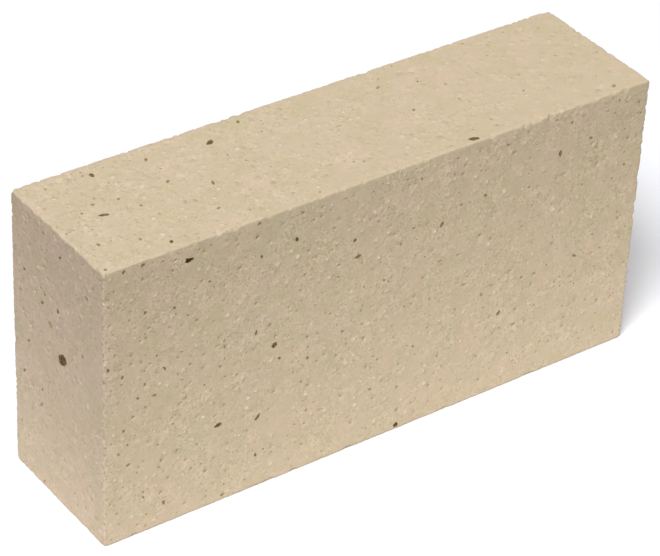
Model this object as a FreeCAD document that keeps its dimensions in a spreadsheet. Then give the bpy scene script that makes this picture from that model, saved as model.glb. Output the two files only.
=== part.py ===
"""Refractory firebrick, a dry-pressed fireclay block in the 250 x 124 x 64 mm standard format.

The brick stands on one of its long narrow faces. X runs along its length, Y through its thickness and Z up.
The origin is the centre of the face that it stands on. All sizes are in millimetres.
"""
import FreeCAD, Part
import Sketcher
import os

PARTS_FOLDER = "parts"
BRICK_LABEL = "firebrick"
SIZE_TOLERANCE = 0.001

# Driving dimensions: alias, value and what the size is.
DIMENSIONS = [
    ("length", 250.0, "long side of the brick"),
    ("width", 124.0, "short side of the bed face, upright as the brick stands"),
    ("thickness", 64.0, "between the two pressed bed faces"),
    ("arris_radius", 0.6, "softened edge left by the die and by handling"),
]


def add_dimension_sheet(doc):
    """Puts each driving dimension in a spreadsheet cell with an alias."""
    sheet = doc.addObject("Spreadsheet::Sheet", "dimensions")
    for row, (alias, value, meaning) in enumerate(DIMENSIONS, start=1):
        sheet.set(f"A{row}", alias)
        sheet.set(f"B{row}", str(value))
        sheet.set(f"C{row}", meaning)
        sheet.setAlias(f"B{row}", alias)
    doc.recompute()
    return sheet


def origin_plane(body, role):
    """Returns one of the body's own origin planes, such as XZ_Plane."""
    return next(plane for plane in body.Origin.OriginFeatures if plane.Role == role)


def add_bed_face_outline(body, sheet):
    """Sketches the bed face: a rectangle on the base line, centred on the upright axis."""
    outline = body.newObject("Sketcher::SketchObject", "bed_face_outline")
    outline.AttachmentSupport = [(origin_plane(body, "XZ_Plane"), "")]
    outline.MapMode = "FlatFace"

    corners = [
        FreeCAD.Vector(-sheet.length / 2, 0, 0),
        FreeCAD.Vector(sheet.length / 2, 0, 0),
        FreeCAD.Vector(sheet.length / 2, sheet.width, 0),
        FreeCAD.Vector(-sheet.length / 2, sheet.width, 0),
    ]
    sides = [
        outline.addGeometry(Part.LineSegment(corner, following), False)
        for corner, following in zip(corners, corners[1:] + corners[:1])
    ]
    base, right, top, left = sides

    # A side's start and end are its points 1 and 2, and the sketch's own origin is point 1 of geometry -1.
    start, end = 1, 2
    sketch_origin = (-1, 1)
    for side, following in zip(sides, sides[1:] + sides[:1]):
        outline.addConstraint(Sketcher.Constraint("Coincident", side, end, following, start))
    for side in (base, top):
        outline.addConstraint(Sketcher.Constraint("Horizontal", side))
    for side in (right, left):
        outline.addConstraint(Sketcher.Constraint("Vertical", side))
    outline.addConstraint(Sketcher.Constraint("Symmetric", base, start, base, end, *sketch_origin))

    length = outline.addConstraint(Sketcher.Constraint("DistanceX", base, start, base, end, sheet.length))
    width = outline.addConstraint(Sketcher.Constraint("DistanceY", right, start, right, end, sheet.width))
    for constraint, alias in ((length, "length"), (width, "width")):
        outline.renameConstraint(constraint, alias)
        outline.setExpression(f"Constraints.{alias}", f"dimensions.{alias}")
    return outline


def add_firebrick(doc, sheet):
    """Presses the bed face outline to the brick's thickness and softens every arris."""
    body = doc.addObject("PartDesign::Body", BRICK_LABEL)
    body.Label = BRICK_LABEL
    outline = add_bed_face_outline(body, sheet)

    pressing = body.newObject("PartDesign::Pad", "pressing")
    pressing.Profile = outline
    pressing.SideType = "Symmetric"
    pressing.setExpression("Length", "dimensions.thickness")
    doc.recompute()

    arrises = body.newObject("PartDesign::Fillet", "arrises")
    arrises.Base = (pressing, [f"Edge{number}" for number, _ in enumerate(pressing.Shape.Edges, start=1)])
    arrises.setExpression("Radius", "dimensions.arris_radius")
    body.Tip = arrises
    doc.recompute()
    return body


def check(doc, brick, sheet):
    """Stops the build unless every object recomputed and the brick is one sound solid of the right size."""
    for item in doc.Objects:
        if {"Invalid", "Error"} & set(item.State):
            raise RuntimeError(f"{item.Label} failed to recompute: {item.State}")
    if brick.Shape.isNull() or not brick.Shape.isValid() or len(brick.Shape.Solids) != 1:
        raise RuntimeError(f"{brick.Label} is not one valid solid")
    box = brick.Shape.BoundBox
    measured = (box.XLength, box.YLength, box.ZLength)
    for size, wanted in zip(measured, (sheet.length, sheet.thickness, sheet.width)):
        if abs(size - wanted) > SIZE_TOLERANCE:
            raise RuntimeError(f"{brick.Label} measures {size} mm where {wanted} mm is meant")


def main():
    """Builds the brick, checks it and writes its STEP file."""
    doc = FreeCAD.newDocument("firebrick_model")
    sheet = add_dimension_sheet(doc)
    brick = add_firebrick(doc, sheet)
    check(doc, brick, sheet)
    os.makedirs(PARTS_FOLDER, exist_ok=True)
    brick.Shape.exportStep(os.path.join(PARTS_FOLDER, f"{brick.Label}.step"))
    print(f"{brick.Label}: {brick.Shape.Volume:.0f} cubic mm, {len(brick.Shape.Faces)} faces")


main()
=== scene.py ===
"""Dresses the refractory firebrick: a pressed fireclay skin with pores, grog, iron spots and worn arrises.

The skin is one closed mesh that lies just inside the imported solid. The brick's lengths are in millimetres,
and become metres where the mesh is made. The studio's lengths are in metres.
"""
import logging
import math
from dataclasses import dataclass
from enum import Enum
from itertools import product
from typing import ClassVar, NamedTuple

import bpy
import numpy as np
from mathutils import Matrix, Vector, geometry, noise


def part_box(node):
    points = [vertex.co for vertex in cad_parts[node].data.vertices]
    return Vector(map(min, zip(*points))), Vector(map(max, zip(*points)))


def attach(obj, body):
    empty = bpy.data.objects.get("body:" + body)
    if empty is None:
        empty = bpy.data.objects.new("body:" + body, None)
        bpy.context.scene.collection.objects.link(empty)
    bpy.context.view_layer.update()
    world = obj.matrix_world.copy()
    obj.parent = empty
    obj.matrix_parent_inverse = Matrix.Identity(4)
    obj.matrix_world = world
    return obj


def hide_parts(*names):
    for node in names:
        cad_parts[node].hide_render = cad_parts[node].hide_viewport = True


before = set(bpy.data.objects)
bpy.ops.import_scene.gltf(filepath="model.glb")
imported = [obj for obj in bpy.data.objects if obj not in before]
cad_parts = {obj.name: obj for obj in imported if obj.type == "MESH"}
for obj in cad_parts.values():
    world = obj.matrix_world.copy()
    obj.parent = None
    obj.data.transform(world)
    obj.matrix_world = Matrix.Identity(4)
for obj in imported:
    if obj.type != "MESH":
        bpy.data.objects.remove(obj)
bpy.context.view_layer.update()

log = logging.getLogger("firebrick")

MM = 0.001
NODE = "firebrick"
BODY = "root"
PIECE = "firebrick_skin"
SEED = 2501

# Arrays: a row of along and rise for each spot of a face, a row of X, Y and Z for each point, and values.
Spots = np.ndarray
Points = np.ndarray
Values = np.ndarray

Pair = tuple[float, float]
Colour = tuple[float, float, float, float]
Socket = bpy.types.NodeSocket
Input = Socket | float | tuple[float, ...]


class Face(Enum):
    """A face of the brick as it stands: the way its width runs and the way its height runs."""

    FRONT = ((1, 0, 0), (0, 0, 1))
    BACK = ((-1, 0, 0), (0, 0, 1))
    TOP = ((1, 0, 0), (0, 1, 0))
    REST = ((1, 0, 0), (0, -1, 0))
    LEFT = ((0, -1, 0), (0, 0, 1))
    RIGHT = ((0, 1, 0), (0, 0, 1))

    @property
    def along(self) -> Points:
        """The way that the face's width runs."""
        return np.array(self.value[0], dtype=float)

    @property
    def rise(self) -> Points:
        """The way that the face's height runs."""
        return np.array(self.value[1], dtype=float)

    @property
    def outward(self) -> Points:
        """The way that the face looks."""
        return np.cross(self.along, self.rise)


class Kind(Enum):
    """What lies in the skin. The value is its place in the attribute that the finish reads."""

    PORE = 0
    GROG = 1
    IRON = 2
    RUST = 3

    @property
    def jag(self) -> float:
        """How uneven its outline is, as a share of its size."""
        return {Kind.PORE: 0.22, Kind.GROG: 0.18}.get(self, 0.28)


class Mark(Enum):
    """What the mesh carries at each point for the finish to read. The value is the attribute's name."""

    KINDS = "inclusions"
    STRENGTH = "strength"
    WEAR = "wear"


def draw_size(sizes: Pair, rng: np.random.Generator) -> float:
    """Draws a size from the smallest to the largest, with small ones oftener than large ones."""
    smallest, largest = sizes
    return smallest * (largest / smallest) ** (rng.random() ** 2)


@dataclass(frozen=True)
class Inclusion:
    """One pore, grog grain, iron spot or rust spot, seen as a ragged oval in its face."""

    # How far a point strays along its ring, as a share of the step to the next one.
    STRAY: ClassVar[float] = 0.25

    kind: Kind
    face: Face
    along: float
    rise: float
    length: float
    width: float
    turn: float = 0.0
    # How much of a pale grain's colour shows, how deep a dark spot stains, and how deep a pore's painted
    # shade is.
    strength: float = 1.0
    # How far it stands out of the skin.
    lift: float = 0.0

    def ring(self, scale: float, count: int, wobble: float, rng: np.random.Generator) -> Spots:
        """Draws a ragged ring of points around the middle.

        Args:
            scale: size of the ring as a share of the oval.
            count: how many points it has.
            wobble: spread of the points' distance from the middle, as a share.
            rng: the generator that draws the raggedness.

        Returns:
            One row of along and rise for each point.
        """
        angles = (np.arange(count) + rng.uniform(-self.STRAY, self.STRAY, count)) * math.tau / count
        sizes = scale * (1 + rng.uniform(-wobble, wobble, count))
        across = np.column_stack([np.cos(angles) * self.length / 2, np.sin(angles) * self.width / 2])
        turn = math.radians(self.turn)
        turned = across * sizes[:, None] @ np.array(
            [[math.cos(turn), math.sin(turn)], [-math.sin(turn), math.cos(turn)]]
        )
        return turned + (self.along, self.rise)


@dataclass(frozen=True)
class Scatter:
    """How thickly one kind of inclusion lies in the skin, how large it grows and how strongly it shows."""

    kind: Kind
    # The area of a bed face for each one.
    area_each: float
    sizes: Pair
    # The least width, as a share of the length.
    slimmest: float
    strengths: Pair
    # How far it stands out of the skin, as a share of its length.
    lift: float = 0.0
    faces: tuple[Face, ...] = tuple(Face)
    # Above 1, more of them lie towards the left side.
    crowding: float = 1.25

    def draw(self, face: Face, sides: Pair, share: float, edge: float,
             rng: np.random.Generator) -> list[Inclusion]:
        """Draws the inclusions of one face, more of them towards its left side.

        Args:
            face: the face that they lie in.
            sides: its width and height.
            share: how many it shows, against a bed face.
            edge: the strip along its sides that stays free.
            rng: the generator that places and sizes them.

        Returns:
            The inclusions, in the order drawn.
        """
        width, height = sides
        drawn = []
        for _ in range(round(width * height * share / self.area_each)):
            length = draw_size(self.sizes, rng)
            drawn.append(Inclusion(
                kind=self.kind,
                face=face,
                along=(rng.random() ** self.crowding - 0.5) * (width - 2 * edge - length),
                rise=(rng.random() - 0.5) * (height - 2 * edge - length),
                length=length,
                width=length * rng.uniform(self.slimmest, 1.0),
                turn=rng.uniform(0, 180),
                strength=rng.uniform(*self.strengths),
                lift=self.lift * length,
            ))
        return drawn


@dataclass(frozen=True)
class Block:
    """The brick's plain form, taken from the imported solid."""

    size: Points
    middle: Points
    arris_radius: float = 0.6

    @classmethod
    def from_frame(cls) -> "Block":
        """Reads the solid's box from the imported model."""
        low, high = (np.array(corner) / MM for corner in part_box(NODE))
        return cls(high - low, (high + low) / 2)

    def sides(self, face: Face) -> Pair:
        """A face's width and height."""
        return float(abs(face.along @ self.size)), float(abs(face.rise @ self.size))

    def insets(self, points: Points) -> Points:
        """How far each point lies inside the ends, the bed faces and the narrow faces."""
        return self.size / 2 - np.abs(points - self.middle)

    def place(self, face: Face, spots: Spots) -> Points:
        """Puts spots of a face on the sharp-edged block."""
        start = self.middle + face.outward * self.size / 2
        return start + spots[:, :1] * face.along + spots[:, 1:] * face.rise

    def soften(self, points: Points) -> tuple[Points, Points]:
        """Rolls the sharp-edged block's arrises over.

        Args:
            points: points on the sharp-edged block.

        Returns:
            The points on the rounded block, and the outward direction at each.
        """
        inner = self.size / 2 - self.arris_radius
        reach = points - self.middle
        core = np.clip(reach, -inner, inner)
        out = reach - core
        normals = out / np.linalg.norm(out, axis=1, keepdims=True)
        return self.middle + core + normals * self.arris_radius, normals


@dataclass(frozen=True)
class Chip:
    """A scoop out of an arris or a corner: the part of the block that a long ball takes away."""

    middle: Points
    # One row for each of the ball's axes, as long as one divided by its reach that way.
    axes: Points

    @classmethod
    def bite(cls, place: Points, run: Points, out: Points, depth: float,
             reach: tuple[float, float, float]) -> "Chip":
        """Sets a ball so that it bites into the block.

        Args:
            place: a point on the sharp arris or corner.
            run: the way that the arris runs.
            out: the way out of the block, square to the arris.
            depth: how deep it bites, against that way out.
            reach: the ball's reach along the arris, across it and outwards.

        Returns:
            The chip.
        """
        ways = np.array([run, np.cross(out, run), out])
        ways /= np.linalg.norm(ways, axis=1, keepdims=True)
        return cls(place + ways[2] * (reach[2] - depth), ways / np.array(reach)[:, None])

    def scoop(self, points: Points) -> None:
        """Pushes the points that lie in the ball back to its surface.

        Args:
            points: points of the skin, changed in place.
        """
        away = points - self.middle
        far = np.linalg.norm(away @ self.axes.T, axis=1)
        taken = far < 1
        points[taken] = self.middle + away[taken] / far[taken, None]


@dataclass(frozen=True)
class ArrisWear:
    """Small chips along every arris and blunted corners, with the larger ones where the brick has them."""

    block: Block
    # Small chips: the mean step from one to the next, and their depths.
    gap: float = 2.6
    depths: Pair = (0.42, 1.15)
    # Their balls: the reach against the depth, the stretch along the arris and the lean to either face.
    ball: Pair = (1.2, 2.6)
    stretch: Pair = (0.6, 1.5)
    lean: Pair = (0.4, 1.0)
    # Each large chip of the top front arris: its place along it, its length, its depth and its lean upwards.
    large: tuple[tuple[float, float, float, float], ...] = (
        (-97.0, 3.5, 0.8, 0.3),
        (-87.0, 3.5, 0.8, 0.3),
        (63.0, 3.5, 1.0, 0.3),
        (75.5, 4.5, 1.3, 0.2),
        (89.0, 3.5, 0.9, 0.3),
        (97.5, 5.0, 1.0, 1.0),
        (106.5, 5.0, 1.1, 1.0),
        (112.5, 5.0, 1.0, 0.3),
    )
    # How deep each corner is blunted, by the signs of its X, Y and Z.
    corners: tuple[tuple[tuple[int, int, int], float], ...] = (
        ((-1, -1, 1), 0.8),
        ((-1, 1, 1), 1.5),
        ((1, 1, 1), 1.2),
        ((1, -1, 1), 0.7),
        ((-1, -1, -1), 1.2),
        ((-1, 1, -1), 1.2),
        ((1, -1, -1), 1.6),
        ((1, 1, -1), 1.4),
    )
    # A large chip's reach across the arris and outwards, and a corner's all round, against the depth.
    large_reach: Pair = (6.0, 2.2)
    corner_reach: float = 1.6

    def small_chips(self, rng: np.random.Generator) -> list[Chip]:
        """Draws the small chips of the twelve arrises.

        Args:
            rng: the generator that places and sizes them.

        Returns:
            The chips, arris by arris.
        """
        half = self.block.size / 2
        found = []
        for axis in range(3):
            run = np.eye(3)[axis]
            for signs in product((-1.0, 1.0), repeat=2):
                out = np.insert(np.array(signs), axis, 0)
                at = -half[axis]
                while at < half[axis]:
                    place = self.block.middle + out * half + run * at
                    depth = draw_size(self.depths, rng)
                    ball = depth * rng.uniform(*self.ball)
                    lean = np.where(out == 0, 0, rng.uniform(*self.lean, 3))
                    reach = (ball * rng.uniform(*self.stretch), ball, ball)
                    found.append(Chip.bite(place, run, out * lean, depth, reach))
                    at += rng.exponential(self.gap)
        return found

    def chips(self, rng: np.random.Generator) -> list[Chip]:
        """Draws every chip.

        Args:
            rng: the generator that places and sizes the small ones.

        Returns:
            The small chips, the large ones and the eight corners'.
        """
        half = self.block.size / 2
        found = self.small_chips(rng)
        along_x = np.array([1.0, 0.0, 0.0])
        front_top = np.array([0.0, -1.0, 1.0])
        across, outwards = self.large_reach
        for along, length, depth, lean in self.large:
            place = self.block.middle + front_top * half + along_x * along
            reach = (length / 2, depth * across, depth * outwards)
            found.append(Chip.bite(place, along_x, np.array([0.0, -1.0, lean]), depth, reach))
        for signs, depth in self.corners:
            out = np.array(signs, dtype=float)
            place = self.block.middle + out * half
            reach = (depth * self.corner_reach,) * 3
            found.append(Chip.bite(place, np.cross(out, along_x), out, depth, reach))
        return found


@dataclass(frozen=True)
class Wave:
    """Soft unevenness of the skin: the length and height of its waves, and how many sizes of wave it has."""

    # How fast the finer waves fade, and how many times shorter each is than the one before.
    FADE: ClassVar[float] = 0.9
    STEP: ClassVar[float] = 2.0

    length: float
    height: float
    sizes: int

    def depths(self, points: Points) -> Values:
        """How deep it lies below each point."""
        waves = [noise.fractal(Vector(at / self.length), self.FADE, self.STEP, self.sizes) for at in points]
        return self.height * np.array(waves)


class Layout(NamedTuple):
    """Points of the skin: where they lie in a face, how far they stand out, their kinds and strengths."""

    spots: Spots
    lift: Values
    kinds: Values
    strength: Values

    @classmethod
    def join(cls, layouts: list["Layout"]) -> "Layout":
        """Joins layouts one after another."""
        return cls(*(np.concatenate(parts) for parts in zip(*layouts)))


@dataclass
class Skin:
    """The brick's fired skin: its layout, its relief, its mesh and its finish."""

    # The step that points are rounded to, to find those that are one point.
    SAME_POINT: ClassVar[float] = 0.001

    block: Block
    wear: ArrisWear
    scatters: tuple[Scatter, ...]
    seen: tuple[Inclusion, ...]
    # How many inclusions each face shows: the bed faces under the punch are coarser than the die's sides.
    shares: dict[Face, float]
    # How far the rows of points lie from the arrises: those that stay, and those that make way for spots.
    arris_insets: tuple[float, ...] = (0.0, 0.3, 0.7, 1.2)
    inner_insets: tuple[float, ...] = (1.9, 2.8)
    # The step between a row's points at the arris, and its growth for each millimetre inwards.
    row_spacing: float = 0.8
    row_growth: float = 0.2
    # The honeycomb inside the rows: its step, its distance from the arrises, and its shake against the step.
    grid_spacing: float = 1.9
    grid_edge: float = 3.8
    grid_shake: float = 0.28
    # What an inclusion keeps clear: a strip inside the arris rows, and towards others a share of its length
    # and a strip.
    edge_gap: float = 0.5
    clear_share: float = 0.75
    clear_gap: float = 0.2
    # What it keeps clear of the rows and the honeycomb: a share of its length and a share of a step.
    ground_share: float = 0.62
    ground_gap: float = 0.4
    # An inclusion's rings: the fewest points, more for each millimetre of length, and their sizes.
    ring_least: int = 5
    ring_growth: float = 1.2
    inner_ring: float = 0.74
    outer_ring: float = 1.22
    # How far its middle stands out against its ring, and how unevenly both do.
    middle_lift: float = 1.1
    lift_spread: Pair = (0.8, 1.2)
    # Relief: the depth of the skin below the solid's faces and its waves.
    recess: float = 0.16
    waves: tuple[Wave, ...] = (Wave(42.0, 0.10, 2), Wave(2.8, 0.06, 3))
    # How deep the arrises have crumbled, the size of the crumbs, and the width of the crumbled strip.
    crumble: float = 0.42
    crumble_wave: float = 2.0
    crumble_width: float = 1.5
    # The worn strip at the upright arrises: its wear at the arris, where above 1 counts as 1, and its width.
    wear_most: float = 1.2
    wear_width: float = 1.5
    sharp_angle: float = 50.0
    # Between the faces on the flat sheet.
    sheet_gap: float = 3.0

    def choose(self, face: Face, rng: np.random.Generator) -> list[Inclusion]:
        """Picks a face's inclusions: the seen ones, then drawn ones that keep clear of the rest.

        Args:
            face: the face.
            rng: the generator that draws them.

        Returns:
            Inclusions that don't touch each other.
        """
        edge = self.arris_insets[-1] + self.edge_gap
        kept = [spot for spot in self.seen if spot.face is face]
        for scatter in self.scatters:
            if face in scatter.faces:
                kept += scatter.draw(face, self.block.sides(face), self.shares[face], edge, rng)
        middles = np.array([(spot.along, spot.rise) for spot in kept])
        reaches = np.array([spot.length for spot in kept]) * self.clear_share + self.clear_gap
        clear: list[int] = []
        for index, middle in enumerate(middles):
            apart = np.linalg.norm(middles[clear] - middle, axis=1)
            if np.all(apart > reaches[clear] + reaches[index]):
                clear.append(index)
        return [kept[index] for index in clear]

    def rows(self, width: float, height: float, insets: tuple[float, ...]) -> Spots:
        """Nested rows of points that follow a face's four arrises.

        Args:
            width: the face's width.
            height: the face's height.
            insets: how far each row lies from the arrises.

        Returns:
            One row of along and rise for each point.
        """
        loops = []
        for inset in insets:
            spacing = self.row_spacing + self.row_growth * inset
            right, high = width / 2 - inset, height / 2 - inset
            across = np.linspace(-right, right, round(2 * right / spacing) + 1)
            up = np.linspace(-high, high, round(2 * high / spacing) + 1)[1:-1]
            loops += [np.column_stack([across, np.full_like(across, side)]) for side in (-high, high)]
            loops += [np.column_stack([np.full_like(up, side), up]) for side in (-right, right)]
        return np.concatenate(loops)

    def grid(self, width: float, height: float, rng: np.random.Generator) -> Spots:
        """A shaken honeycomb of points over the middle of a face.

        Args:
            width: the face's width.
            height: the face's height.
            rng: the generator that shakes it.

        Returns:
            One row of along and rise for each point.
        """
        step, lift = self.grid_spacing, self.grid_spacing * math.sqrt(0.75)
        right, high = width / 2 - self.grid_edge, height / 2 - self.grid_edge
        across, up = np.meshgrid(np.arange(-right, right, step), np.arange(-high, high, lift))
        across[1::2] += step / 2
        spots = np.column_stack([across.ravel(), up.ravel()])
        spots += rng.uniform(-self.grid_shake, self.grid_shake, spots.shape) * step
        return spots[np.all(np.abs(spots) <= (right, high), axis=1)]

    def surround(self, spot: Inclusion, rng: np.random.Generator) -> list[Layout]:
        """Lays out an inclusion's points.

        Args:
            spot: the inclusion.
            rng: the generator that draws its rings.

        Returns:
            Its middle, its own ring, and a ring of bare clay around that.
        """
        count = self.ring_least + round(spot.length * self.ring_growth)
        parts = (
            (np.array([[spot.along, spot.rise]]), self.middle_lift, 1),
            (spot.ring(self.inner_ring, count, spot.kind.jag, rng), 1.0, 1),
            (spot.ring(self.outer_ring, count + 1, spot.kind.jag / 2, rng), 0.0, 0),
        )
        return [
            Layout(
                ring,
                spot.lift * lift * rng.uniform(*self.lift_spread, len(ring)),
                np.eye(len(Kind))[[spot.kind.value] * len(ring)] * shown,
                np.full(len(ring), spot.strength),
            )
            for ring, lift, shown in parts
        ]

    def lay_out(self, face: Face, rng: np.random.Generator) -> Layout:
        """Lays out a face's points: rows at its arrises, rings at its inclusions and a grid between them.

        Args:
            face: the face.
            rng: the generator that draws it.

        Returns:
            The points, those of bare clay first.
        """
        width, height = self.block.sides(face)
        ground = np.concatenate([self.rows(width, height, self.inner_insets), self.grid(width, height, rng)])
        rings: list[Layout] = []
        for spot in self.choose(face, rng):
            rings += self.surround(spot, rng)
            apart = np.linalg.norm(ground - (spot.along, spot.rise), axis=1)
            ground = ground[apart > spot.length * self.ground_share + self.grid_spacing * self.ground_gap]
        plain = np.concatenate([self.rows(width, height, self.arris_insets), ground])
        count = len(plain)
        bare = Layout(plain, np.zeros(count), np.zeros((count, len(Kind))), np.zeros(count))
        return Layout.join([bare, *rings])

    @staticmethod
    def knit(spots: Spots) -> np.ndarray:
        """Joins a face's spots into triangles.

        Args:
            spots: along and rise of each point.

        Returns:
            Three point numbers for each triangle, in order as seen from outside.
        """
        smallest_gap = 1e-5
        _, _, triangles, origins, _, _ = geometry.delaunay_2d_cdt(
            [Vector(spot) for spot in spots], [], [], 0, smallest_gap
        )
        first = np.array([origin[0] for origin in origins])
        return first[np.array(triangles)]

    def arris_distance(self, points: Points) -> Values:
        """How far each point of the skin lies from the nearest arris."""
        return np.sort(self.block.insets(points), axis=1)[:, 1]

    def relief(self, points: Points) -> Values:
        """Works out the plain skin's unevenness.

        Args:
            points: points of the rounded block.

        Returns:
            How deep the skin lies below each point.
        """
        depth = np.full(len(points), self.recess)
        for wave in self.waves:
            depth += wave.depths(points)
        near = np.clip(1 - self.arris_distance(points) / self.crumble_width, 0, 1)
        crumbs = [noise.noise(Vector(point / self.crumble_wave)) for point in points]
        return depth + self.crumble * near * np.maximum(crumbs, 0)

    def wear_down(self, skin: Points, rng: np.random.Generator) -> Values:
        """Chips the arrises and corners, and says how worn the skin is at the four upright arrises.

        Args:
            skin: the skin's points, changed in place.
            rng: the generator that draws the chips.

        Returns:
            Wear from 0 to 1 at each point, from before it was chipped.
        """
        near = np.flatnonzero(self.arris_distance(skin) < self.grid_edge)
        upright = self.block.insets(skin)[:, :2].max(axis=1)
        edge = skin[near]
        for chip in self.wear.chips(rng):
            chip.scoop(edge)
        skin[near] = edge
        return np.clip(self.wear_most - upright / self.wear_width, 0, 1)

    def sheet_places(self) -> tuple[dict[Face, Spots], float]:
        """Lays the six faces side by side on one flat sheet, for the picture maps.

        Returns:
            Each face's lower left corner, and the sheet's side.
        """
        gap = self.sheet_gap
        length, _ = self.block.sides(Face.FRONT)
        places = {}
        up = gap
        for face in (Face.FRONT, Face.BACK, Face.TOP, Face.REST):
            places[face] = np.array([gap, up])
            up += self.block.sides(face)[1] + gap
        for face, beside in ((Face.LEFT, Face.FRONT), (Face.RIGHT, Face.BACK)):
            places[face] = places[beside] + (length + gap, 0)
        return places, up

    def flatten(self, layouts: dict[Face, Layout]) -> Spots:
        """Puts the faces' points on the flat sheet.

        Args:
            layouts: each face's points.

        Returns:
            Each point's place, as shares of the sheet's side.
        """
        places, side = self.sheet_places()
        return np.concatenate([
            layout.spots + np.array(self.block.sides(face)) / 2 + places[face]
            for face, layout in layouts.items()
        ]) / side

    @staticmethod
    def carry(mesh: bpy.types.Mesh, mark: Mark, values: Values) -> None:
        """Stores values at the mesh's points.

        Args:
            mesh: the mesh.
            mark: what the values are.
            values: a number or a row of four for each point.
        """
        kind, field = ("FLOAT", "value") if values.ndim == 1 else ("FLOAT_COLOR", "color")
        attribute = mesh.attributes.new(mark.value, kind, "POINT")
        attribute.data.foreach_set(field, values.astype(np.float32).ravel())

    def build(self) -> bpy.types.Object:
        """Makes the skin's mesh.

        Returns:
            The skin, in metres, at the solid's place.
        """
        rng = np.random.default_rng(SEED)
        layouts = {face: self.lay_out(face, rng) for face in Face}
        whole = Layout.join(list(layouts.values()))
        points = np.concatenate([self.block.place(face, layout.spots) for face, layout in layouts.items()])
        starts = np.cumsum([0] + [len(layout.spots) for layout in layouts.values()])
        corners = np.concatenate([
            self.knit(layout.spots) + start for layout, start in zip(layouts.values(), starts)
        ])
        # Points on an arris belong to two faces or three, so each is kept once.
        keys = np.round(points / self.SAME_POINT).astype(np.int64)
        _, first, where = np.unique(keys, axis=0, return_index=True, return_inverse=True)
        skin, normals = self.block.soften(points[first])
        depth = self.relief(skin) - whole.lift[first]
        skin -= normals * np.maximum(depth, 0)[:, None]
        wear = self.wear_down(skin, rng)

        mesh = bpy.data.meshes.new(PIECE)
        mesh.from_pydata(skin * MM, [], where.ravel()[corners])
        self.carry(mesh, Mark.KINDS, whole.kinds[first])
        self.carry(mesh, Mark.STRENGTH, whole.strength[first])
        self.carry(mesh, Mark.WEAR, wear)
        layer = mesh.uv_layers.new(name="OFBake")
        layer.uv.foreach_set("vector", self.flatten(layouts)[corners.ravel()].astype(np.float32).ravel())
        mesh.shade_smooth()
        mesh.set_sharp_from_angle(angle=math.radians(self.sharp_angle))
        brick = bpy.data.objects.new(PIECE, mesh)
        bpy.context.collection.objects.link(brick)
        return brick

    def dress(self, brick: bpy.types.Object) -> None:
        """Gives the mesh its fired finish."""
        brick.data.materials.append(FireclayFinish(self.block).material())


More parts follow.
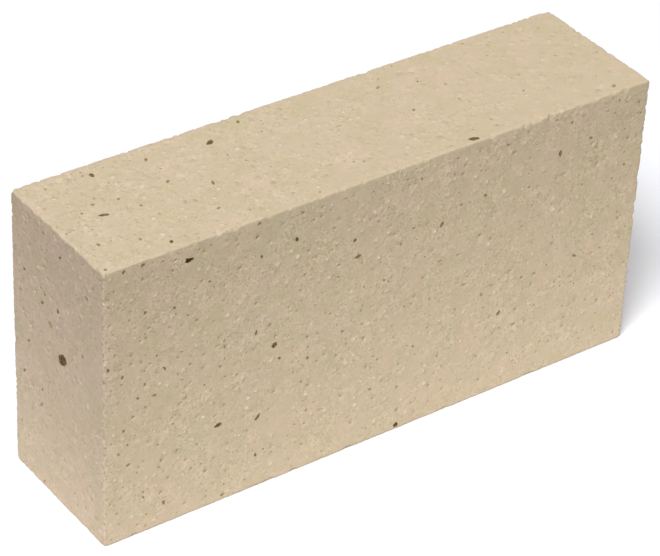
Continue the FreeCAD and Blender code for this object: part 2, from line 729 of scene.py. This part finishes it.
@dataclass(frozen=True)
class Wiring:
    """Places nodes in one tree and links them."""

    # The value that noise lies around, and how rough its finer waves are.
    NOISE_MIDDLE: ClassVar[float] = 0.5
    NOISE_ROUGHNESS: ClassVar[float] = 0.6

    tree: bpy.types.NodeTree

    def add(self, kind: str, inputs: dict[str | int, Input] | None = None,
            **options: object) -> bpy.types.Node:
        """Places a node.

        Args:
            kind: the node's type.
            inputs: a value or another node's output for each named or numbered input.
            options: the node's own settings.

        Returns:
            The node.
        """
        node = self.tree.nodes.new(kind)
        for option, value in options.items():
            setattr(node, option, value)
        for name, value in (inputs or {}).items():
            if isinstance(value, Socket):
                self.tree.links.new(value, node.inputs[name])
            else:
                node.inputs[name].default_value = value
        return node

    def calc(self, operation: str, first: Input, second: Input) -> Socket:
        """Works out one number from two with a Math node."""
        return self.add("ShaderNodeMath", {0: first, 1: second}, operation=operation).outputs[0]

    def times(self, first: Input, second: Input) -> Socket:
        """Multiplies two numbers."""
        return self.calc("MULTIPLY", first, second)

    def plus(self, first: Input, second: Input) -> Socket:
        """Adds two numbers."""
        return self.calc("ADD", first, second)

    def vector(self, operation: str, inputs: dict[str | int, Input]) -> Socket:
        """Works out places or colours with a Vector Math node."""
        return self.add("ShaderNodeVectorMath", inputs, operation=operation).outputs[0]

    def scale(self, vector: Input, by: Input) -> Socket:
        """Makes a place longer or shorter, or a colour lighter or darker."""
        return self.vector("SCALE", {0: vector, "Scale": by})

    def spread(self, value: Input, low: Input, high: Input, least: Input = 0.0, most: Input = 1.0) -> Socket:
        """Turns the range from low to high into least to most, and holds it there."""
        ends = {"Value": value, "From Min": low, "From Max": high, "To Min": least, "To Max": most}
        return self.add("ShaderNodeMapRange", ends).outputs["Result"]

    def between(self, value: Input, least: Input, most: Input) -> Socket:
        """Turns 0 to 1 into least to most."""
        return self.spread(value, 0.0, 1.0, least, most)

    def sway(self, value: Input, reach: float) -> Socket:
        """Turns 0 to 1 into as much below nothing as above it."""
        return self.between(value, -reach, reach)

    def blend(self, share: Input, under: Input, over: Input, way: str = "MIX") -> Socket:
        """Lays one colour over another."""
        colours = {0: share, 6: under, 7: over}
        return self.add("ShaderNodeMix", colours, data_type="RGBA", blend_type=way).outputs[2]

    def stain(self, colour: Input, stain: Input, depth: Input) -> Socket:
        """Darkens a colour as a stain does, whose own colour is what a depth of 1 leaves of white."""
        left = self.add("ShaderNodeGamma", {"Color": stain, "Gamma": depth}).outputs[0]
        return self.vector("MULTIPLY", {0: colour, 1: left})

    def noise(self, place: Input, wave: Input, detail: float) -> bpy.types.bpy_prop_collection:
        """Places noise.

        Args:
            place: the place that it is read at.
            wave: the length of its waves.
            detail: how many finer waves it has.

        Returns:
            The noise's outputs.
        """
        return self.add("ShaderNodeTexNoise", {
            "Vector": place,
            "Scale": self.calc("DIVIDE", 1.0, wave),
            "Detail": detail,
            "Roughness": self.NOISE_ROUGHNESS,
        }).outputs

    def shake(self, place: Input, wave: Input, reach: Input) -> Socket:
        """Moves a place about by noise, so that round shapes come out ragged.

        Args:
            place: the place to move.
            wave: the length of the noise's waves.
            reach: how far it moves the place.

        Returns:
            The moved place.
        """
        stir = self.noise(place, wave, detail=2.0)["Color"]
        centred = self.vector("SUBTRACT", {0: stir, 1: (self.NOISE_MIDDLE,) * 3})
        return self.vector("ADD", {0: place, 1: self.scale(centred, reach)})

    def cells(self, place: Input, size: Input) -> tuple[Socket, bpy.types.bpy_prop_collection]:
        """Splits the place into cells.

        Args:
            place: the place that they are read at.
            size: the size of a cell.

        Returns:
            The distance from the cell's middle, as a share of its size, and three numbers drawn for it.
        """
        cells = self.add("ShaderNodeTexVoronoi", {"Vector": place, "Scale": self.calc("DIVIDE", 1.0, size)})
        lots = self.add("ShaderNodeSeparateColor", {"Color": cells.outputs["Color"]})
        return cells.outputs["Distance"], lots.outputs

    def group(self, tree: bpy.types.NodeTree, inputs: dict[str, Input]) -> bpy.types.bpy_prop_collection:
        """Places a node group with its own values, and gives its outputs."""
        return self.add("ShaderNodeGroup", inputs, node_tree=tree).outputs


def start_group(name: str, values: dict[str, float], results: tuple[str, ...]) -> tuple[Wiring, list[Socket]]:
    """Starts a node group that reads a place in millimetres.

    Args:
        name: the group's name.
        values: its number inputs and what they start at.
        results: its number outputs.

    Returns:
        The group's wiring, and its place and numbers as given.
    """
    tree = bpy.data.node_groups.new(name, "ShaderNodeTree")
    tree.interface.new_socket("Place", in_out="INPUT", socket_type="NodeSocketVector")
    for value, start in values.items():
        socket = tree.interface.new_socket(value, in_out="INPUT", socket_type="NodeSocketFloat")
        socket.default_value = start
    for result in results:
        tree.interface.new_socket(result, in_out="OUTPUT", socket_type="NodeSocketFloat")
    wiring = Wiring(tree)
    return wiring, wiring.add("NodeGroupInput").outputs[:len(values) + 1]


def make_specks() -> bpy.types.NodeTree:
    """Makes the group for fine specks, ragged spots of mixed size with one in each cell at most.

    Returns:
        The group, whose Mask is 1 in a speck.
    """
    smallest, largest = 0.5, 1.3
    core = 0.5
    values = {"Spacing": 2.0, "Size": 0.4, "Share": 0.4, "Ragged": 1.2}
    wiring, (place, spacing, size, share, ragged) = start_group("specks", values, ("Mask",))
    distance, lots = wiring.cells(wiring.shake(place, size, wiring.times(ragged, size)), spacing)
    radius = wiring.times(size, wiring.between(lots["Green"], smallest, largest))
    inside = wiring.spread(wiring.times(distance, spacing), radius, wiring.times(radius, core))
    chosen = wiring.calc("LESS_THAN", lots["Red"], share)
    wiring.add("NodeGroupOutput", {"Mask": wiring.times(inside, chosen)})
    return wiring.tree


def make_clouds() -> bpy.types.NodeTree:
    """Makes the group for cloudy patches, large ones that the kiln leaves and small ones of sandy clay.

    Returns:
        The group, whose Patch runs from 0 to 1.
    """
    wiring, (place, size, softness) = start_group("clouds", {"Patch Size": 30.0, "Softness": 0.2}, ("Patch",))
    cloud = wiring.noise(place, size, detail=3.0)["Fac"]
    low = wiring.calc("SUBTRACT", wiring.NOISE_MIDDLE, softness)
    high = wiring.plus(wiring.NOISE_MIDDLE, softness)
    wiring.add("NodeGroupOutput", {"Patch": wiring.spread(cloud, low, high)})
    return wiring.tree


def make_crumbs() -> bpy.types.NodeTree:
    """Makes the group for the crumbly body of pressed clay and grog.

    Returns:
        The group, with a Tone for each crumb and a domed Height, both from 0 to 1.
    """
    foot, crown = 0.85, 0.15
    lowest = 0.35
    ragged_wave = 0.6
    values = {"Crumb Size": 1.0, "Ragged": 0.6}
    wiring, (place, size, ragged) = start_group("crumbs", values, ("Tone", "Height"))
    ragged_place = wiring.shake(place, wiring.times(size, ragged_wave), wiring.times(ragged, size))
    distance, lots = wiring.cells(ragged_place, size)
    dome = wiring.spread(distance, foot, crown)
    height = wiring.times(dome, wiring.between(lots["Green"], lowest, 1.0))
    wiring.add("NodeGroupOutput", {"Tone": lots["Red"], "Height": height})
    return wiring.tree


@dataclass(frozen=True)
class Cloud:
    """Cloudy patches: their size and how soft they are."""

    size: float
    softness: float

    def patch(self, wiring: Wiring, clouds: bpy.types.NodeTree, place: Input) -> Socket:
        """Places the group of clouds with this size, as a patch from 0 to 1."""
        values = {"Place": place, "Patch Size": self.size, "Softness": self.softness}
        return wiring.group(clouds, values)["Patch"]


@dataclass(frozen=True)
class Specks:
    """Fine specks: their spacing, their size and the share of cells that have one."""

    spacing: float
    size: float
    share: float

    def mask(self, wiring: Wiring, specks: bpy.types.NodeTree, place: Input) -> Socket:
        """Places the group of specks with this size, as a mask that is 1 in a speck."""
        values = {"Place": place, "Spacing": self.spacing, "Size": self.size, "Share": self.share}
        return wiring.group(specks, values)["Mask"]


@dataclass(frozen=True)
class Band:
    """The part of a patch that shows: where it sets in, where it is full, and how much of it then shows."""

    start: float
    full: float
    share: float

    def shown(self, wiring: Wiring, patch: Input) -> Socket:
        """Picks that part out of a patch."""
        return wiring.spread(patch, self.start, self.full, 0.0, self.share)


class Grain(NamedTuple):
    """The clay's grain: its patches and specks, how thickly they lie and how much of them the place shows."""

    sand: Socket
    grit: Socket
    drift: Socket
    tone: Socket
    dome: Socket
    flour: Socket
    holes: Socket
    crowd: Socket
    plain: Socket


@dataclass(frozen=True)
class FireclayFinish:
    """Matt fired fireclay: clouded buff clay, its grain, and the colours of what lies in the skin."""

    block: Block
    # The clay's colour, the two that the kiln clouds it with, and what the two ends are multiplied by.
    buff: Colour = (0.573, 0.473, 0.335, 1.0)
    peach: Colour = (0.625, 0.474, 0.354, 1.0)
    straw: Colour = (0.515, 0.449, 0.280, 1.0)
    end_tint: Colour = (1.004, 0.985, 1.037, 1.0)
    # Pale grains, fine dark ones that also paint the shade in small holes, and what a stain of iron or rust
    # leaves of white at a depth of 1. The iron stain also paints the shade in pores and in a few hollows.
    pale: Colour = (0.75, 0.665, 0.545, 1.0)
    umber_and_shade: Colour = (0.20, 0.145, 0.078, 1.0)
    iron: Colour = (0.368, 0.318, 0.220, 1.0)
    rust: Colour = (0.368, 0.259, 0.192, 1.0)
    roughness: float = 0.95
    gloss: float = 0.08
    # The kiln's clouds, and how much of them shows.
    peach_cloud: Cloud = Cloud(24.0, 0.15)
    straw_cloud: Cloud = Cloud(10.0, 0.14)
    cloud_share: float = 0.55
    # The grain: fine sand, grit, crumbs, pale flour, small holes with painted shade, and drifts where all of
    # it lies thickly.
    sand: Cloud = Cloud(0.6, 0.25)
    grit: Cloud = Cloud(1.1, 0.25)
    drift: Cloud = Cloud(9.0, 0.16)
    crumb_size: float = 2.0
    flour: Specks = Specks(2.1, 0.5, 0.45)
    holes: Specks = Specks(2.7, 0.5, 0.3)
    # How much of the grain lies outside a drift and inside one.
    crowd: Pair = (0.25, 1.42)
    # How much of it shows on the two long narrow faces, from their left end to their right one.
    narrow_grain: Pair = (0.69, 0.335)
    # How much of it shows on the two ends, and from the foot of the upright faces to their head.
    end_grain: float = 0.88
    upright_grain: Pair = (0.84, 1.0)
    # Where a narrow face or an end sets in and where it is full, below its own level.
    face_depth: Pair = (1.5, 0.5)
    # How much lighter or darker sand, crumbs and drifts make the clay.
    sand_tone: float = 0.075
    crumb_tone: float = 0.07
    drift_tone: float = 0.03
    # How much of the pale and the dark grain and of the painted shade in the small holes shows, on the skin
    # and at the worn arrises.
    pale_grit: Band = Band(0.62, 0.82, 0.4)
    dark_grit: Band = Band(0.36, 0.16, 0.4)
    flour_share: float = 0.42
    hole_shade_share: float = 0.5
    worn_pale: Band = Band(0.55, 0.75, 0.48)
    worn_dark: Band = Band(0.42, 0.22, 0.3)
    # An inclusion's edge: how ragged it is, and where it sets in and is full. Then how patchy its inside is.
    ragged: float = 0.35
    outline: Pair = (0.4, 0.6)
    patchy: Pair = (1.35, 0.55)
    # The bump, and what each part of the grain adds to it.
    bump_height: float = 0.13
    grit_height: float = 0.4
    sand_height: float = 0.26
    crumb_height: float = 0.3
    flour_height: float = 0.55
    hole_height: float = -0.55

    def zones(self, wiring: Wiring, place: Input) -> tuple[Socket, Socket]:
        """Tells the faces apart.

        Args:
            wiring: the material's wiring.
            place: the place in millimetres.

        Returns:
            What is 1 on the two ends, and how much of the grain the place shows.
        """
        half = self.block.size / 2
        centred = wiring.vector("SUBTRACT", {0: place, 1: tuple(self.block.middle)})
        apart = wiring.vector("ABSOLUTE", {0: centred})
        across, sides = (
            wiring.add("ShaderNodeSeparateXYZ", {"Vector": way}).outputs for way in (centred, apart)
        )
        start, full = self.face_depth
        end = wiring.spread(sides["X"], half[0] - start, half[0] - full)
        narrow = wiring.spread(sides["Z"], half[2] - start, half[2] - full)
        faded = wiring.spread(across["X"], -half[0], half[0], *self.narrow_grain)
        plain = wiring.spread(across["Z"], -half[2], half[2], *self.upright_grain)
        for zone, share in ((narrow, faded), (end, self.end_grain)):
            plain = wiring.times(plain, wiring.between(zone, 1.0, share))
        return end, plain

    def lay_grain(self, wiring: Wiring, place: Input, plain: Socket, clouds: bpy.types.NodeTree) -> Grain:
        """Places the grain's node groups.

        Args:
            wiring: the material's wiring.
            place: the place in millimetres.
            plain: how much of the grain the place shows.
            clouds: the group for cloudy patches.

        Returns:
            The grain.
        """
        sand, grit, drift = (
            cloud.patch(wiring, clouds, place) for cloud in (self.sand, self.grit, self.drift)
        )
        crumbs = wiring.group(make_crumbs(), {"Place": place, "Crumb Size": self.crumb_size})
        specks = make_specks()
        flour, holes = (kind.mask(wiring, specks, place) for kind in (self.flour, self.holes))
        crowd = wiring.between(drift, *self.crowd)
        return Grain(sand, grit, drift, crumbs["Tone"], crumbs["Height"], flour, holes, crowd, plain)

    def clay(self, wiring: Wiring, place: Input, end: Input, clouds: bpy.types.NodeTree) -> Socket:
        """Colours the bare clay.

        Args:
            wiring: the material's wiring.
            place: the place in millimetres.
            end: 1 on the two ends.
            clouds: the group for cloudy patches.

        Returns:
            The clay's colour, clouded by the kiln and a little pinker on the two ends.
        """
        colour = self.buff
        for cloud, over in ((self.peach_cloud, self.peach), (self.straw_cloud, self.straw)):
            share = wiring.times(cloud.patch(wiring, clouds, place), self.cloud_share)
            colour = wiring.blend(share, colour, over)
        return wiring.blend(end, colour, self.end_tint, "MULTIPLY")

    def colour_grain(self, wiring: Wiring, colour: Input, grain: Grain) -> Socket:
        """Colours the grain, and paints shade into its small holes.

        Args:
            wiring: the material's wiring.
            colour: the bare clay's colour.
            grain: the grain.

        Returns:
            The colour of the clay with its grain.
        """
        strength = wiring.times(grain.crowd, grain.plain)
        shade = wiring.sway(grain.sand, self.sand_tone)
        for patch, reach in ((grain.tone, self.crumb_tone), (grain.drift, self.drift_tone)):
            shade = wiring.plus(shade, wiring.sway(patch, reach))
        colour = wiring.scale(colour, wiring.plus(wiring.times(shade, strength), 1.0))
        for shown, over in (
            (self.pale_grit.shown(wiring, grain.grit), self.pale),
            (wiring.times(grain.flour, self.flour_share), self.pale),
            (self.dark_grit.shown(wiring, grain.grit), self.umber_and_shade),
            # Painted shade: the small holes darkened with umber.
            (wiring.times(grain.holes, self.hole_shade_share), self.umber_and_shade),
        ):
            colour = wiring.blend(wiring.times(shown, strength), colour, over)
        return colour

    def colour_marks(self, wiring: Wiring, colour: Input, grain: Grain) -> Socket:
        """Colours what the mesh carries: the worn arrises and the inclusions, with painted shade in the
        pores.

        Args:
            wiring: the material's wiring.
            colour: the colour of the clay with its grain.
            grain: the grain.

        Returns:
            The skin's colour.
        """
        kinds, strength, wear = (
            wiring.add("ShaderNodeAttribute", attribute_name=mark.value).outputs
            for mark in (Mark.KINDS, Mark.STRENGTH, Mark.WEAR)
        )
        crumbs, breaks = (
            wiring.times(wear["Fac"], band.shown(wiring, grain.grit))
            for band in (self.worn_pale, self.worn_dark)
        )
        colour = wiring.blend(crumbs, colour, self.pale)
        colour = wiring.stain(colour, self.iron, breaks)

        split = wiring.add("ShaderNodeSeparateColor", {"Color": kinds["Color"]}).outputs
        ragged = wiring.sway(grain.sand, self.ragged)
        depth = wiring.times(strength["Fac"], wiring.between(grain.grit, *self.patchy))
        pore, grog, iron, rust = (
            wiring.times(depth, wiring.spread(wiring.plus(kind, ragged), *self.outline))
            for kind in (split["Red"], split["Green"], split["Blue"], kinds["Alpha"])
        )
        colour = wiring.blend(wiring.times(grog, grain.plain), colour, self.pale)
        # On the pores the iron stain is painted shade in their hollows, and on a few iron spots a painted
        # shadow.
        for stained, stain in ((pore, self.iron), (iron, self.iron), (rust, self.rust)):
            colour = wiring.stain(colour, stain, stained)
        return colour

    def bump(self, wiring: Wiring, grain: Grain) -> Socket:
        """Raises the grain.

        Args:
            wiring: the material's wiring.
            grain: the grain.

        Returns:
            The bumpy skin's normal.
        """
        relief = wiring.sway(grain.grit, self.grit_height)
        for patch, height in (
            (grain.sand, self.sand_height),
            (grain.dome, self.crumb_height),
            (grain.flour, self.flour_height),
            (grain.holes, self.hole_height),
        ):
            relief = wiring.plus(relief, wiring.times(patch, height))
        return wiring.add("ShaderNodeBump", {
            "Height": wiring.times(relief, grain.crowd),
            "Distance": self.bump_height * MM,
            "Strength": grain.plain,
        }).outputs["Normal"]

    def material(self) -> bpy.types.Material:
        """Makes the material.

        Returns:
            The material, which reads what the mesh carries.
        """
        material = bpy.data.materials.new("fired fireclay")
        material.use_nodes = True
        material.node_tree.nodes.clear()
        wiring = Wiring(material.node_tree)
        clouds = make_clouds()
        place = wiring.scale(wiring.add("ShaderNodeTexCoord").outputs["Object"], 1 / MM)
        end, plain = self.zones(wiring, place)
        grain = self.lay_grain(wiring, place, plain, clouds)
        colour = self.clay(wiring, place, end, clouds)
        colour = self.colour_grain(wiring, colour, grain)
        colour = self.colour_marks(wiring, colour, grain)
        shader = wiring.add("ShaderNodeBsdfPrincipled", {
            "Base Color": colour,
            "Roughness": self.roughness,
            "Specular IOR Level": self.gloss,
            "Normal": self.bump(wiring, grain),
        })
        wiring.add("ShaderNodeOutputMaterial", {"Surface": shader.outputs[0]})
        return material


@dataclass(frozen=True)
class FloorFinish:
    """Plain white studio paper."""

    white: Colour = (0.93, 0.94, 0.985, 1.0)
    roughness: float = 0.95

    def material(self) -> bpy.types.Material:
        """Makes the material.

        Returns:
            The material.
        """
        material = bpy.data.materials.new("studio paper")
        material.use_nodes = True
        shader = material.node_tree.nodes["Principled BSDF"]
        shader.inputs["Base Color"].default_value = self.white
        shader.inputs["Roughness"].default_value = self.roughness
        return material


@dataclass(frozen=True)
class Lamp:
    """A square soft light that looks at the brick."""

    name: str
    side: float
    power: float
    place: tuple[float, float, float]
    colour: tuple[float, float, float] = (1.0, 1.0, 1.0)

    def hang(self) -> None:
        """Hangs the lamp at its place."""
        light = bpy.data.lights.new(self.name, "AREA")
        light.size = self.side
        light.energy = self.power
        light.color = self.colour
        lamp = bpy.data.objects.new(self.name, light)
        lamp.location = self.place
        lamp.rotation_euler = Vector(self.place).to_track_quat("Z", "Y").to_euler()
        bpy.context.collection.objects.link(lamp)


@dataclass(frozen=True)
class Studio:
    """A pale floor, soft light and the camera at the photograph's place."""

    floor_radius: float = 3.5
    paper_radius: float = 0.27
    paper_sides: int = 96
    lamps: tuple[Lamp, ...] = (
        Lamp("soft box", side=2.2, power=332.0, place=(-2.65, -1.98, 5.0)),
        Lamp("warm fill", side=0.3, power=1.09, place=(0.55, -0.8, 0.35), colour=(1.0, 0.96, 0.87)),
    )
    sky_strength: float = 0.38
    sky: Colour = (1.0, 0.99, 0.97, 1.0)
    # Where the sky sets in and where it is full, as the rise of the way out.
    horizon: Pair = (-0.02, 0.0)
    # The camera's angles in degrees, and its lens and sensor in millimetres.
    camera_place: tuple[float, float, float] = (-0.57117, -0.75859, 0.72045)
    azimuth: float = -36.867
    elevation: float = 34.935
    roll: float = 2.779
    lens: float = 162.55
    sensor_width: float = 36.0

    def lay_floor(self) -> None:
        """Lays a round paper under the brick, and the floor around it, which sends it no light back."""
        white = FloorFinish().material()
        count = self.paper_sides
        angles = [math.tau * step / count for step in range(count)]
        rim, border = (
            [(radius * math.cos(angle), radius * math.sin(angle), 0) for angle in angles]
            for radius in (self.paper_radius, self.floor_radius)
        )
        following = [*range(1, count), 0]
        ring = [(near, near + count, far + count, far) for near, far in enumerate(following)]
        for name, points, faces in (("paper", rim, [range(count)]), ("floor", rim + border, ring)):
            mesh = bpy.data.meshes.new(name)
            mesh.from_pydata(points, [], faces)
            mesh.materials.append(white)
            sheet = bpy.data.objects.new(name, mesh)
            sheet.visible_diffuse = name == "paper"
            bpy.context.collection.objects.link(sheet)

    def hang_lights(self) -> None:
        """Hangs the lamps and lights the upper half of the room."""
        for lamp in self.lamps:
            lamp.hang()

        world = bpy.data.worlds.new("studio")
        world.use_nodes = True
        wiring = Wiring(world.node_tree)
        way_out = wiring.add("ShaderNodeTexCoord").outputs["Generated"]
        up = wiring.add("ShaderNodeSeparateXYZ", {"Vector": way_out}).outputs["Z"]
        strength = wiring.spread(up, *self.horizon, 0.0, self.sky_strength)
        sky = world.node_tree.nodes["Background"]
        sky.inputs["Color"].default_value = self.sky
        world.node_tree.links.new(strength, sky.inputs["Strength"])
        bpy.context.scene.world = world

    def set_camera(self) -> None:
        """Sets the camera where the photograph was taken from."""
        turn, tilt, roll = (math.radians(angle) for angle in (self.azimuth, self.elevation, self.roll))
        back = Vector((math.sin(turn) * math.cos(tilt), -math.cos(turn) * math.cos(tilt), math.sin(tilt)))
        level = Vector((0, 0, 1)).cross(back).normalized()
        upright = back.cross(level)
        right = level * math.cos(roll) + upright * math.sin(roll)
        up = upright * math.cos(roll) - level * math.sin(roll)
        lens = bpy.data.cameras.new("photo camera")
        lens.lens = self.lens
        lens.sensor_width = self.sensor_width
        camera = bpy.data.objects.new("photo camera", lens)
        turned = Matrix((right, up, back)).transposed().to_4x4()
        camera.matrix_world = Matrix.Translation(self.camera_place) @ turned
        bpy.context.collection.objects.link(camera)
        bpy.context.scene.camera = camera

    def build(self) -> None:
        """Sets up the floor, the lights, the camera and plain colours."""
        self.lay_floor()
        self.hang_lights()
        self.set_camera()
        bpy.context.scene.view_settings.view_transform = "Standard"


# The spots that stand out on the faces in view: along and rise from the face's middle, length, width, turn
# in degrees and depth of the stain. Three of the front's iron spots, two at its top arris near the left end
# and one at its left arris, are painted shadows of small hollows, stained like iron.
SEEN_SPOTS = {
    (Kind.IRON, Face.FRONT): (
        (-89, 55, 3.9, 1.7, 8, 2.35),
        (-42, 47, 2.2, 1.4, 105, 1.5),
        (-15.5, 37, 1.8, 1.3, 50, 1.3),
        (-13.5, 29, 3.2, 1.4, 5, 0.9),
        (-9.5, 29, 1.8, 1.1, 20, 0.65),
        (82, 42.5, 2.8, 1.6, 90, 1.15),
        (97, 44.5, 2.1, 1.5, 150, 0.65),
        (-50.5, 2.5, 2.7, 2.2, 35, 1.45),
        (-59, 11.5, 2.3, 1.1, 85, 1.1),
        (-48, -4.5, 1.7, 1.2, 140, 0.9),
        (-75, -25, 3.8, 1.8, 6, 1.35),
        (-57, -28.5, 3.6, 1.5, 50, 1.2),
        (-99, 11, 2.4, 0.9, 120, 1.15),
        (-103.5, 0.5, 2.1, 1.2, 165, 0.7),
        (-110.5, 2, 1.5, 1.1, 145, 0.9),
        (-99, -51.5, 2.1, 1.4, 95, 0.8),
        (-57.5, -46.5, 1.9, 1.2, 110, 1),
        (-35, -9.5, 1.9, 1.4, 135, 0.8),
        (57.5, -24, 2.5, 1.6, 50, 0.8),
        (94.5, -10, 2.6, 1.2, 145, 0.8),
        (9.5, -60, 2.7, 2.2, 105, 1.9),
        (116, 26, 1.5, 1.2, 125, 0.6),
        (-57.5, 45, 1.9, 1.2, 105, 0.9),
        (-107.5, 39, 1.7, 1.3, 60, 1),
        (-95, 36.5, 1.5, 1.1, 150, 0.9),
        (-80, 42.5, 1.6, 1.1, 150, 0.9),
        (-116.5, -10.5, 1.5, 1.2, 75, 0.9),
        (-114.5, -27, 2.1, 1.3, 25, 0.7),
        (-117, 14, 1.5, 1.2, 60, 0.9),
        # Painted shadow of a small hollow at the top arris, stained like iron.
        (-108.5, 60, 2.0, 1.3, 40, 0.9),
        # Painted shadow of a small hollow at the top arris, stained like iron.
        (-116.5, 60, 1.9, 1.3, 60, 0.95),
        (-59, 60, 1.9, 1.3, 30, 0.95),
        # Painted shadow of a small pit at the left arris, stained like iron.
        (-123, 19.5, 1.9, 1.3, 95, 0.9),
        (34.5, 35.5, 1.5, 1.2, 30, 0.7),
    ),
    (Kind.IRON, Face.TOP): (
        (-95, 24.5, 2.9, 1.9, 90, 1.3),
        (-46, 20.5, 3.8, 2.3, 30, 1.3),
        (-29, 27, 2.3, 1.4, 45, 0.9),
        (-105, 0, 4.1, 1.8, 165, 1.1),
        (-93.5, -27, 2.1, 1.4, 60, 1.45),
        (40, -29.5, 4.6, 2.2, 165, 1.3),
        (-60, -3, 3.2, 1.1, 75, 0.8),
        (-73.5, 6.5, 2.2, 1.3, 35, 0.8),
        (-116.5, -15, 2.1, 1.3, 85, 0.8),
        (-67.5, -18, 1.9, 1.1, 35, 1),
        (110, -27.5, 2.6, 1.8, 40, 0.6),
        (31, 19.5, 2.4, 1.4, 35, 0.55),
        (-122.5, -29.5, 1.5, 1.2, 40, 0.9),
        (-102, -20, 1.8, 1.2, 60, 0.6),
        (-95, 6, 1.6, 1.2, 40, 0.6),
    ),
    (Kind.IRON, Face.LEFT): (
        (3.5, 7.0, 6.3, 4.7, 42, 1.55),
        (-10.5, 24.5, 2.2, 1.4, 40, 0.8),
        (0.5, 27, 2.0, 1.5, 50, 1),
        (2.5, 52, 1.8, 1.2, 30, 1.1),
        (-25, -15.5, 2.5, 1.2, 50, 0.8),
        (-12.5, -23.5, 3.4, 1.3, 50, 0.5),
        (-23, 32, 2.3, 1.3, 40, 0.7),
        (-9, 56, 1.9, 1.1, 150, 0.7),
        (-5, 18, 3.2, 2.4, 160, 0.4),
        (17.5, 17.5, 2.1, 1.5, 85, 0.45),
        (-21, 1, 2.8, 1.1, 40, 0.55),
        (20.5, 45, 3.0, 1.3, 165, 0.6),
    ),
    (Kind.RUST, Face.FRONT): ((25.5, 29.5, 2.5, 1.7, 60, 0.8),),
    (Kind.RUST, Face.TOP): ((-72.5, 23, 2.4, 1.2, 55, 0.65), (33, -1, 1.9, 1.2, 50, 0.45)),
}

# The faces away from the camera.
HIDDEN = (Face.BACK, Face.REST, Face.RIGHT)

# What the generator draws. The hidden faces get large spots of their own.
SCATTERS = (
    Scatter(Kind.IRON, area_each=1500, sizes=(1.8, 4.5), slimmest=0.45, strengths=(0.7, 1.8), faces=HIDDEN),
    Scatter(Kind.RUST, area_each=1800, sizes=(0.9, 1.8), slimmest=0.55, strengths=(0.3, 0.7)),
    Scatter(Kind.IRON, area_each=430, sizes=(0.8, 1.6), slimmest=0.55, strengths=(0.3, 0.95)),
    # A pore's strengths are how deep the painted shade in its hollow is.
    Scatter(Kind.PORE, area_each=60, sizes=(0.9, 1.7), slimmest=0.55, strengths=(0.05, 0.34), lift=-0.24),
    Scatter(Kind.GROG, area_each=50, sizes=(0.9, 2.1), slimmest=0.6, strengths=(0.3, 0.92), lift=0.10),
)

# How many inclusions each face shows, against a bed face.
SHARES = {
    Face.FRONT: 1.0,
    Face.BACK: 1.0,
    Face.TOP: 0.75,
    Face.REST: 0.75,
    Face.LEFT: 0.62,
    Face.RIGHT: 0.62,
}


def main() -> None:
    """Builds the brick's skin and the studio, and reports each piece."""
    logging.basicConfig(level=logging.INFO, format="%(name)s: %(message)s")
    block = Block.from_frame()
    seen = tuple(Inclusion(*where, *spot) for where, spots in SEEN_SPOTS.items() for spot in spots)
    skin = Skin(block, ArrisWear(block), SCATTERS, seen, SHARES)
    brick = skin.build()
    skin.dress(brick)
    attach(brick, BODY)
    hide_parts(NODE)
    log.info("%s: %d points, %d triangles", brick.name, len(brick.data.vertices), len(brick.data.polygons))
    Studio().build()
    log.info("studio: paper, floor, lamps and camera")


if __name__ == "__main__":
    main()
